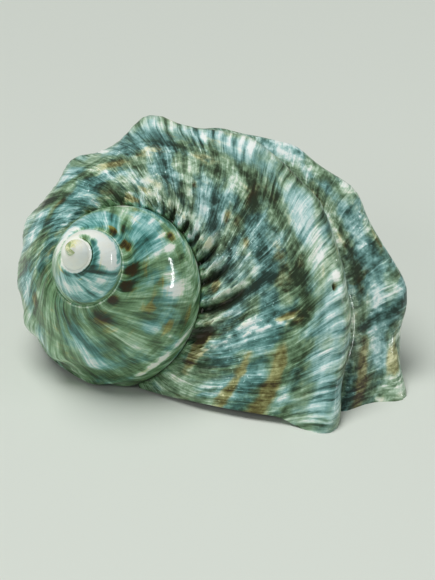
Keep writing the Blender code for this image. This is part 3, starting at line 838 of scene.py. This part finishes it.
# %% Merged doubles and the tip
MERGE_DISTANCE = 0.00001  # metres
TIP_RINGS = [(0.75, 0.22), (0.60, 0.14), (0.0, 0.42)]  # each ring's share of the one before, and its rise
bm = bmesh.new()
bm.from_mesh(mesh)
bmesh.ops.remove_doubles(bm, verts=bm.verts, dist=MERGE_DISTANCE)
open_edges = [edge for edge in bm.edges if edge.is_boundary]
print("open edges at the tip:", len(open_edges))
rim_points = [vert for vert in bm.verts if vert.is_boundary]
centre = sum((vert.co for vert in rim_points), start=Vector()) / len(rim_points)
size = max((vert.co - centre).length for vert in rim_points)
for share, rise in TIP_RINGS:
    made = bmesh.ops.extrude_edge_only(bm, edges=open_edges)["geom"]
    open_edges = [item for item in made if isinstance(item, bmesh.types.BMEdge) and item.is_boundary]
    for vert in (item for item in made if isinstance(item, bmesh.types.BMVert)):
        vert.co = centre + (vert.co - centre) * share - Vector(AXIS) * rise * size
bmesh.ops.remove_doubles(bm, verts=bm.verts, dist=MERGE_DISTANCE)
bmesh.ops.recalc_face_normals(bm, faces=bm.faces)
loose = sum(not edge.is_manifold for edge in bm.edges)
print("faces:", len(bm.faces), "- open or doubled edges:", loose)
print("millilitres:", round(bm.calc_volume() * 1e6, 1))
bm.to_mesh(mesh)
bm.free()
mesh.shade_smooth()
mesh.set_sharp_from_angle(angle=math.radians(50))

# %% The shell in the scene
shell = bpy.data.objects.new("turban_shell_skin", mesh)
bpy.context.scene.collection.objects.link(shell)
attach(shell, "root")
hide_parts("turban_shell")
triangles = sum(len(polygon.vertices) - 2 for polygon in mesh.polygons)
print("triangles:", triangles)


# %% [markdown]
# ## Small helpers for materials
#
# Materials are node trees. They could be laid out by hand in the shader editor, and a few short helpers
# do the same in one readable line each: add a node and plug its inputs, add a maths node, add a colour
# ramp. A socket plugs in as a link, and a number or colour is set as a value.

# %% Node helpers
def plug(tree, made, inputs):
    for name, value in inputs.items():
        if isinstance(value, bpy.types.NodeSocket):
            tree.links.new(value, made.inputs[name])
        else:
            made.inputs[name].default_value = value
    return made


def node(tree, kind, inputs=None, **settings):
    made = tree.nodes.new(kind)
    for name, value in settings.items():
        setattr(made, name, value)
    return plug(tree, made, inputs or {})


def maths(tree, operation, first, second=0.0, third=0.0):
    return node(tree, "ShaderNodeMath", {0: first, 1: second, 2: third}, operation=operation).outputs[0]


def multiply(tree, first, second):
    return maths(tree, "MULTIPLY", first, second)


def multiply_add(tree, first, second, third):
    return maths(tree, "MULTIPLY_ADD", first, second, third)


def centred(tree, value):
    """A noise of 0 to 1 as -0.5 to 0.5, so that it darkens as much as it lightens."""
    return maths(tree, "SUBTRACT", value, 0.5)


def between(tree, value, low, high, start=0.0, end=1.0):
    """A soft step: start below low, end above high."""
    limits = {"Value": value, "From Min": low, "From Max": high, "To Min": start, "To Max": end}
    return node(tree, "ShaderNodeMapRange", limits, interpolation_type="SMOOTHSTEP").outputs["Result"]


def noise_on_body(tree, scale, detail, roughness=0.5):
    """A noise in the shell's own space, which ignores the growth lines."""
    body = node(tree, "ShaderNodeTexCoord").outputs["Object"]
    settings = {"Vector": body, "Scale": scale, "Detail": detail, "Roughness": roughness}
    return node(tree, "ShaderNodeTexNoise", settings)


def ramp(tree, value, stops):
    """A colour ramp through stops of (value, colour)."""
    made = node(tree, "ShaderNodeValToRGB", {"Fac": value})
    elements = made.color_ramp.elements
    while len(elements) < len(stops):
        elements.new(0.5)
    for element, (place, colour) in zip(elements, stops):
        element.position = place
        element.color = (*colour, 1.0)
    return made.outputs["Color"]


def blend(tree, factor, first, second):
    """One colour mixed into another. Sockets 6 and 7 are the mix node's two colours."""
    return node(tree, "ShaderNodeMix", {0: factor, 6: first, 7: second}, data_type="RGBA").outputs[2]


def amount(tree, tint):
    """One of the mesh's five amounts."""
    return node(tree, "ShaderNodeAttribute", attribute_name=tint, attribute_type="GEOMETRY").outputs["Fac"]


def new_group(name, inputs, outputs):
    """An empty node group. Inputs map names to default numbers, and outputs are names."""
    tree = bpy.data.node_groups.new(name, "ShaderNodeTree")
    for label, value in inputs.items():
        socket = tree.interface.new_socket(label, in_out="INPUT", socket_type="NodeSocketFloat")
        socket.default_value = value
    for label in outputs:
        tree.interface.new_socket(label, in_out="OUTPUT", socket_type="NodeSocketFloat")
    return tree, tree.nodes.new("NodeGroupInput"), tree.nodes.new("NodeGroupOutput")


def place_group(tree, group, inputs):
    made = tree.nodes.new("ShaderNodeGroup")
    made.node_tree = group
    return plug(tree, made, inputs).outputs


def new_material(name):
    material = bpy.data.materials.new(name)
    material.use_nodes = True
    tree = material.node_tree
    return material, tree, tree.nodes["Principled BSDF"]


# %% [markdown]
# ## Streaks along the growth lines
#
# Shell is laid down lip by lip, so its colour changes quickly from one growth line to the next and slowly
# along a line. A wave texture would give even stripes. A noise texture stretched along the UV map's
# second direction is as uneven as a real shell. The outside and the pearly inside both show it, so it is
# a node group that each of them places with its own numbers:
#
# - Per Length and Per Place: how many streaks there are along the whorl and across it;
# - Taper: 1 makes the streaks of the small early whorls shorter in step with the whorl, and 0 leaves them;
# - Shift: a number of its own for each layer, so that no two are alike;
# - Wobble: how far the streaks stray from the growth lines;
# - Contrast: how far the mask goes from its middle, 0.5.

# %% Group: growth streaks
streaks, given, result = new_group(
    "growth_streaks",
    {"Per Length": 20.0, "Per Place": 1.0, "Taper": 1.0, "Shift": 0.0, "Wobble": 1.0, "Contrast": 1.0},
    ["Mask"],
)
growth_place = node(streaks, "ShaderNodeUVMap", uv_map="growth").outputs[0]
growth_place = node(streaks, "ShaderNodeSeparateXYZ", {0: growth_place})
drift = noise_on_body(streaks, scale=110.0, detail=2.0).outputs[0]
drift = multiply(streaks, centred(streaks, drift), given.outputs["Wobble"])
along = multiply_add(streaks, growth_place.outputs["X"], given.outputs["Per Length"], drift)
girth = multiply(streaks, multiply(streaks, growth_place.outputs["X"], GROWTH_RATE), given.outputs["Taper"])
across = multiply(streaks, growth_place.outputs["Y"], maths(streaks, "ADD", girth, 1.0))
across = multiply_add(streaks, across, given.outputs["Per Place"], given.outputs["Shift"])
grid = node(streaks, "ShaderNodeCombineXYZ", {0: along, 1: across, 2: given.outputs["Shift"]}).outputs[0]
settings = {"Vector": grid, "Scale": 1.0, "Detail": 4.0, "Roughness": 0.6, "Distortion": 0.12}
streak_noise = node(streaks, "ShaderNodeTexNoise", settings).outputs[0]
mask = multiply_add(streaks, centred(streaks, streak_noise), given.outputs["Contrast"], 0.5)
streaks.links.new(mask, result.inputs["Mask"])


def streak_layer(tree, per_length, per_place, shift, wobble, contrast, taper=1.0):
    numbers = {"Per Length": per_length, "Per Place": per_place, "Taper": taper, "Shift": shift,
               "Wobble": wobble, "Contrast": contrast}
    return place_group(tree, streaks, numbers)["Mask"]


print("nodes in the group", streaks.name + ":", len(streaks.nodes))

# %% [markdown]
# ## The polished outside
#
# The outer layer has been ground and polished until green, teal and grey layers show through it in
# streaks, with ochre stains and white where the pearl begins. One way is a colour ramp for every patch.
# Here one number, the tone, runs from the darkest layer to the palest, and three colour ramps read it,
# green, blue and ochre, so light and dark stay in step when the colours are mixed.
#
# The patterns come first. Four of them are streaks, from broad to as fine as a hair. The others break the
# streaks up where the shell is mottled: worn patches with crisp edges, clouds, blocks, a fine mottle and
# a grain.

# %% Patterns of the outside
outside_skin, tree, finish = new_material("polished_outside")
broad = streak_layer(tree, 11.0, 0.90, 3.0, 0.2, 2.2)
fine = streak_layer(tree, 42.0, 1.30, 8.0, 0.3, 1.9)
hair = streak_layer(tree, 105.0, 2.00, 15.0, 0.4, 1.5)
bands = streak_layer(tree, 1.6, 4.50, 21.0, 0.3, 1.0, taper=0.0)
grain = streak_layer(tree, 85.0, 7.00, 41.0, 0.6, 1.8)
blocks = streak_layer(tree, 8.0, 3.40, 27.0, 0.8, 2.2, taper=0.0)
hues = streak_layer(tree, 7.0, 1.20, 35.0, 0.5, 2.6)
mottle = noise_on_body(tree, scale=380.0, detail=5.0, roughness=0.65).outputs[0]
clouds = noise_on_body(tree, scale=75.0, detail=3.0).outputs[0]
specks = noise_on_body(tree, scale=1100.0, detail=1.0).outputs[0]

# %% Worn patches
# A cell pattern on the UV map gives them, and a noise added to the map makes their edges ragged.
PATCHES_PER_UV, RAGGEDNESS, ROUNDED = (6.0, 1.5, 1.0), (0.9, 0.9, 0.0), 0.12
growth_uv = node(tree, "ShaderNodeUVMap", uv_map="growth").outputs[0]
ragged = noise_on_body(tree, scale=140.0, detail=4.0).outputs["Color"]
ragged = node(tree, "ShaderNodeVectorMath", {0: ragged, 1: RAGGEDNESS}, operation="MULTIPLY").outputs[0]
settings = {0: growth_uv, 1: PATCHES_PER_UV, 2: ragged}
patch_uv = node(tree, "ShaderNodeVectorMath", settings, operation="MULTIPLY_ADD").outputs[0]
settings = {"Vector": patch_uv, "Scale": 1.0, "Smoothness": ROUNDED}
cells = node(tree, "ShaderNodeTexVoronoi", settings, feature="SMOOTH_F1", voronoi_dimensions="2D")
cells = node(tree, "ShaderNodeSeparateColor", {0: cells.outputs["Color"]})
patch_tone, patch_hue = cells.outputs[0], cells.outputs[1]
print("pattern nodes:", len(tree.nodes))

# %% [markdown]
# ### Tone
#
# The tone is a sum: an even level, the listed light, a share of each streak layer, and shares of the
# breaking patterns, which count only where the shell is mottled. Mixing the layers as colours would wash
# them out. The crest is calmer, so it has less of the broad streaks, and thin dark lines in their place.
# Two soft limits keep the sum between the darkest layer and the palest, so that no detail is lost in
# either.

# %% The sum
EVEN_TONE = 0.52
BROAD_SHARE, FINE_SHARE, HAIR_SHARE, BAND_SHARE = 0.72, 0.46, 0.36, 0.34
PATCH_SHARE, CLOUD_SHARE, BLOCK_SHARE, MOTTLE_SHARE, GRAIN_SHARE = 0.26, 0.36, 0.50, 0.66, 0.26
mottled, on_crest = amount(tree, "mottled"), amount(tree, "crest")
tone = maths(tree, "ADD", amount(tree, "light"), EVEN_TONE)
broad_share = multiply_add(tree, on_crest, -0.38, BROAD_SHARE)
hair_share = multiply_add(tree, mottled, -0.20, HAIR_SHARE)
for layer, share in ((broad, broad_share), (fine, FINE_SHARE), (hair, hair_share), (bands, BAND_SHARE)):
    tone = multiply_add(tree, centred(tree, layer), share, tone)
for layer, share in (
    (patch_tone, PATCH_SHARE), (clouds, CLOUD_SHARE), (blocks, BLOCK_SHARE), (mottle, MOTTLE_SHARE),
    (grain, GRAIN_SHARE),
):
    tone = multiply_add(tree, multiply(tree, centred(tree, layer), mottled), share, tone)

# %% Lines, flecks with painted glints, scratches and limits
# Each is a soft step up or down in one of the patterns, and counts in one region only.
CREST_LINES, FLECKS_AND_GLINTS, SCRATCHES, CRISP_EDGES = -0.16, 0.40, 0.20, 0.07
PALEST, PALEST_MOTTLED, PALEST_SOFTNESS = 1.42, -0.42, 0.30
DARKEST, DARKEST_SOFTNESS = 0.08, 0.16
lines = multiply(tree, between(tree, fine, 0.24, 0.44, 1.0, 0.0), on_crest)
tone = multiply_add(tree, lines, CREST_LINES, tone)
# The white flecks are partly pale specks in the shell and partly painted glints.
flecks_and_glints = multiply(tree, between(tree, specks, 0.64, 0.74), mottled)
flecks_and_glints = multiply(tree, flecks_and_glints, between(tree, clouds, 0.50, 0.66))
tone = multiply_add(tree, flecks_and_glints, FLECKS_AND_GLINTS, tone)
scratches = multiply(tree, between(tree, hair, 0.58, 0.74), mottled)
tone = multiply_add(tree, scratches, SCRATCHES, tone)
edged = multiply(tree, between(tree, mottle, 0.46, 0.56, -0.5, 0.5), mottled)
tone = multiply_add(tree, edged, CRISP_EDGES, tone)
palest = multiply_add(tree, mottled, PALEST_MOTTLED, PALEST)
tone = maths(tree, "SMOOTH_MIN", tone, palest, PALEST_SOFTNESS)
tone = maths(tree, "SMOOTH_MAX", tone, DARKEST, DARKEST_SOFTNESS)
print("nodes with the tone:", len(tree.nodes))

# %% [markdown]
# ### Colour
#
# Blue and ochre lie in streaks and stains of their own, more of them where they are listed. Two masks
# say how far a point has left the green. A hue could be turned instead, but real layers are not the same
# green turned: each ramp has its own darks and its own lights. Ochre keeps clear of the blue. The darks
# are less blue, and browner where the shell is mottled. The flank and the crest are greyer than the
# polished whorls.

# %% The three ramps
GREEN_LAYERS = [
    (0.00, (0.011, 0.016, 0.008)), (0.20, (0.038, 0.070, 0.030)), (0.40, (0.094, 0.180, 0.086)),
    (0.60, (0.200, 0.350, 0.192)), (0.80, (0.440, 0.635, 0.440)), (1.00, (0.920, 0.940, 0.860)),
]
BLUE_LAYERS = [
    (0.00, (0.007, 0.020, 0.018)), (0.20, (0.024, 0.076, 0.067)), (0.40, (0.064, 0.190, 0.165)),
    (0.60, (0.155, 0.375, 0.345)), (0.80, (0.390, 0.660, 0.630)), (1.00, (0.880, 0.940, 0.900)),
]
OCHRE_LAYERS = [
    (0.00, (0.018, 0.010, 0.005)), (0.20, (0.052, 0.040, 0.014)), (0.40, (0.150, 0.142, 0.038)),
    (0.60, (0.300, 0.315, 0.115)), (0.80, (0.570, 0.590, 0.270)), (1.00, (0.840, 0.830, 0.460)),
]
green, blue, ochre = (ramp(tree, tone, layers) for layers in (GREEN_LAYERS, BLUE_LAYERS, OCHRE_LAYERS))

# %% Where each ramp shows
PATCH_HUE, CLOUD_HUE, HUE_TO_BLUE, HUE_TO_OCHRE = 0.45, 1.3, 0.9, -0.35
BLUE_STEP, OCHRE_STEP = (0.36, 0.94), (0.30, 0.85)
BLOCKS_TO_OCHRE = 0.72
SATURATION, SATURATION_MOTTLED, SATURATION_CREST = 1.13, -0.30, -0.20
hues = multiply_add(tree, multiply(tree, centred(tree, patch_hue), mottled), PATCH_HUE, hues)
hues = multiply_add(tree, centred(tree, clouds), CLOUD_HUE, hues)
blueness = between(tree, multiply_add(tree, hues, HUE_TO_BLUE, amount(tree, "blue")), *BLUE_STEP)
in_light, in_dark = between(tree, tone, 0.10, 0.42, 0.70, 1.0), between(tree, tone, 0.16, 0.44, 0.10, 0.0)
blueness = multiply(tree, blueness, in_light)
stain = multiply_add(tree, blocks, BLOCKS_TO_OCHRE, amount(tree, "ochre"))
stain = multiply_add(tree, in_dark, mottled, stain)
stain = between(tree, multiply_add(tree, hues, HUE_TO_OCHRE, stain), *OCHRE_STEP)
colour = blend(tree, stain, blend(tree, blueness, green, blue), ochre)
depth = multiply_add(tree, mottled, SATURATION_MOTTLED, SATURATION)
depth = multiply_add(tree, on_crest, SATURATION_CREST, depth)
colour = node(tree, "ShaderNodeHueSaturation", {"Saturation": depth, "Color": colour}).outputs["Color"]
tree.links.new(colour, finish.inputs["Base Color"])
print("nodes with the colour:", len(tree.nodes))

# %% [markdown]
# ### Polish
#
# The polish fills the surface like a thin varnish, so the skin under it can be uneven and still shine.
# That is what a coat does: its highlights stay sharp, while roughness and bump vary beneath. One
# roughness for both would be either dull or too smooth.

# %% Polish and wear
LEAST_ROUGH, MOTTLE_ROUGH = 0.22, 0.30
HAIR_WEAR, MOTTLE_WEAR = 0.6, 1.2
tree.links.new(multiply_add(tree, mottle, MOTTLE_ROUGH, LEAST_ROUGH), finish.inputs["Roughness"])
wear = multiply_add(tree, hair, HAIR_WEAR, multiply(tree, multiply(tree, mottle, mottled), MOTTLE_WEAR))
bump = node(tree, "ShaderNodeBump", {"Height": wear, "Strength": 0.50, "Distance": 0.00035})
tree.links.new(bump.outputs[0], finish.inputs["Normal"])
finish.inputs["Specular IOR Level"].default_value = 0.25
finish.inputs["Coat Weight"].default_value = 0.50
finish.inputs["Coat Roughness"].default_value = 0.05
print("nodes in the outside:", len(tree.nodes))

# %% [markdown]
# ## The pearly inside
#
# Behind the lip the shell is mother-of-pearl: pale, smooth, with a faint play of rose and green along the
# growth lines. A thin film could be simulated, but at this distance slow streaks of a few pale colours
# look the same and stay when the finish is baked.

# %% Material: pearly inside
PEARL = [
    (0.25, (0.50, 0.60, 0.52)), (0.45, (0.68, 0.70, 0.62)), (0.60, (0.74, 0.66, 0.60)),
    (0.80, (0.62, 0.72, 0.68)),
]
pearl_skin, tree, finish = new_material("pearl_inside")
slow = streak_layer(tree, 5.0, 0.8, 5.0, 1.2, 1.6)
thin = streak_layer(tree, 60.0, 1.0, 9.0, 1.0, 1.0)
tree.links.new(ramp(tree, slow, PEARL), finish.inputs["Base Color"])
tree.links.new(multiply_add(tree, thin, 0.2, 0.10), finish.inputs["Roughness"])
bump = node(tree, "ShaderNodeBump", {"Height": thin, "Strength": 0.35, "Distance": 0.0002})
tree.links.new(bump.outputs[0], finish.inputs["Normal"])
finish.inputs["Coat Weight"].default_value = 0.5
finish.inputs["Coat Roughness"].default_value = 0.05
mesh.materials.append(outside_skin)  # the faces' numbers OUTSIDE and INSIDE pick from these two
mesh.materials.append(pearl_skin)
print("nodes in the pearl:", len(tree.nodes))

# %% [markdown]
# ## Floor, light and camera
#
# The shell lies on a plain pale floor. A polished shell shows its lamps as sharp shapes, so their form
# matters as much as their strength. A window's light is a long narrow lamp, whose mirror image is the
# thin bright line on the flank. A broad lamp and a wide, soft sun fill the shadows, and are hidden from
# reflections. One big lamp would be simpler, but the polish would look like milk.

# %% The floor and the world
bpy.ops.mesh.primitive_plane_add(size=6.0, location=(0, 0, 0))
floor = bpy.context.object
floor.name = "floor"
pale_floor, tree, finish = new_material("pale_floor")
finish.inputs["Base Color"].default_value = (0.655, 0.695, 0.63, 1.0)
finish.inputs["Roughness"].default_value = 0.6
floor.data.materials.append(pale_floor)

scene = bpy.context.scene
scene.view_settings.view_transform = "Standard"
world = bpy.data.worlds.new("studio")
scene.world = world
world.use_nodes = True
background = world.node_tree.nodes["Background"]
background.inputs["Color"].default_value = (0.80, 0.84, 0.88, 1.0)
background.inputs["Strength"].default_value = 0.15

# %% Lamps
SHELL_MIDDLE = (0, 0, 0.03)


def soft_lamp(name, start, end, width, watts, mirrored=True):
    """A rectangular lamp whose middle line runs from start to end, and which faces the shell."""
    start, end, aim = Vector(start), Vector(end), Vector(SHELL_MIDDLE)
    middle, line = (start + end) / 2.0, end - start
    back = (middle - aim).normalized()
    side = (line - line.dot(back) * back).normalized()
    lamp = bpy.data.lights.new(name, "AREA")
    lamp.shape = "RECTANGLE"
    lamp.size, lamp.size_y, lamp.energy = line.length, width, watts
    item = bpy.data.objects.new(name, lamp)
    turn = Matrix((side, back.cross(side), back)).transposed()
    item.matrix_world = Matrix.Translation(middle) @ turn.to_4x4()
    item.visible_glossy = mirrored
    scene.collection.objects.link(item)


soft_lamp("window", (1.50, 0.10, 0.80), (1.56, -0.68, 0.14), 0.030, 3.8)
soft_lamp("fill", (-0.95, -0.45, 0.55), (-0.20, -0.95, 0.55), 0.4, 2.1, mirrored=False)
sky = bpy.data.lights.new("sky", "SUN")
sky.energy, sky.angle = 2.5, math.radians(42)
sky_item = bpy.data.objects.new("sky", sky)
sky_item.visible_glossy = False
sky_item.rotation_euler = Vector((-0.24, 0.03, 1.0)).to_track_quat("Z", "Y").to_euler()
scene.collection.objects.link(sky_item)

# %% Camera
CAMERA_DOWN = math.radians(27.0)  # how far the camera looks down
SENSOR, LENS = 36.0, 132.4138  # millimetres
# Metres from the tip of the spire, in the camera's own directions.
RIGHT_OF_APEX, BELOW_APEX, BEFORE_APEX = 0.043134, 0.012603, 0.45933
right = np.array([1.0, 0.0, 0.0])
below = np.array([0.0, -math.sin(CAMERA_DOWN), -math.cos(CAMERA_DOWN)])
ahead = np.array([0.0, math.cos(CAMERA_DOWN), -math.sin(CAMERA_DOWN)])
camera_data = bpy.data.cameras.new("camera")
camera_data.sensor_fit = "HORIZONTAL"
camera_data.sensor_width = SENSOR
camera_data.lens = LENS
camera = bpy.data.objects.new("camera", camera_data)
camera.location = APEX + RIGHT_OF_APEX * right + BELOW_APEX * below - BEFORE_APEX * ahead
camera.rotation_euler = (math.pi / 2 - CAMERA_DOWN, 0.0, 0.0)
scene.collection.objects.link(camera)
scene.camera = camera
print("lens:", round(camera_data.lens), "mm, from", [round(value, 3) for value in camera.location])
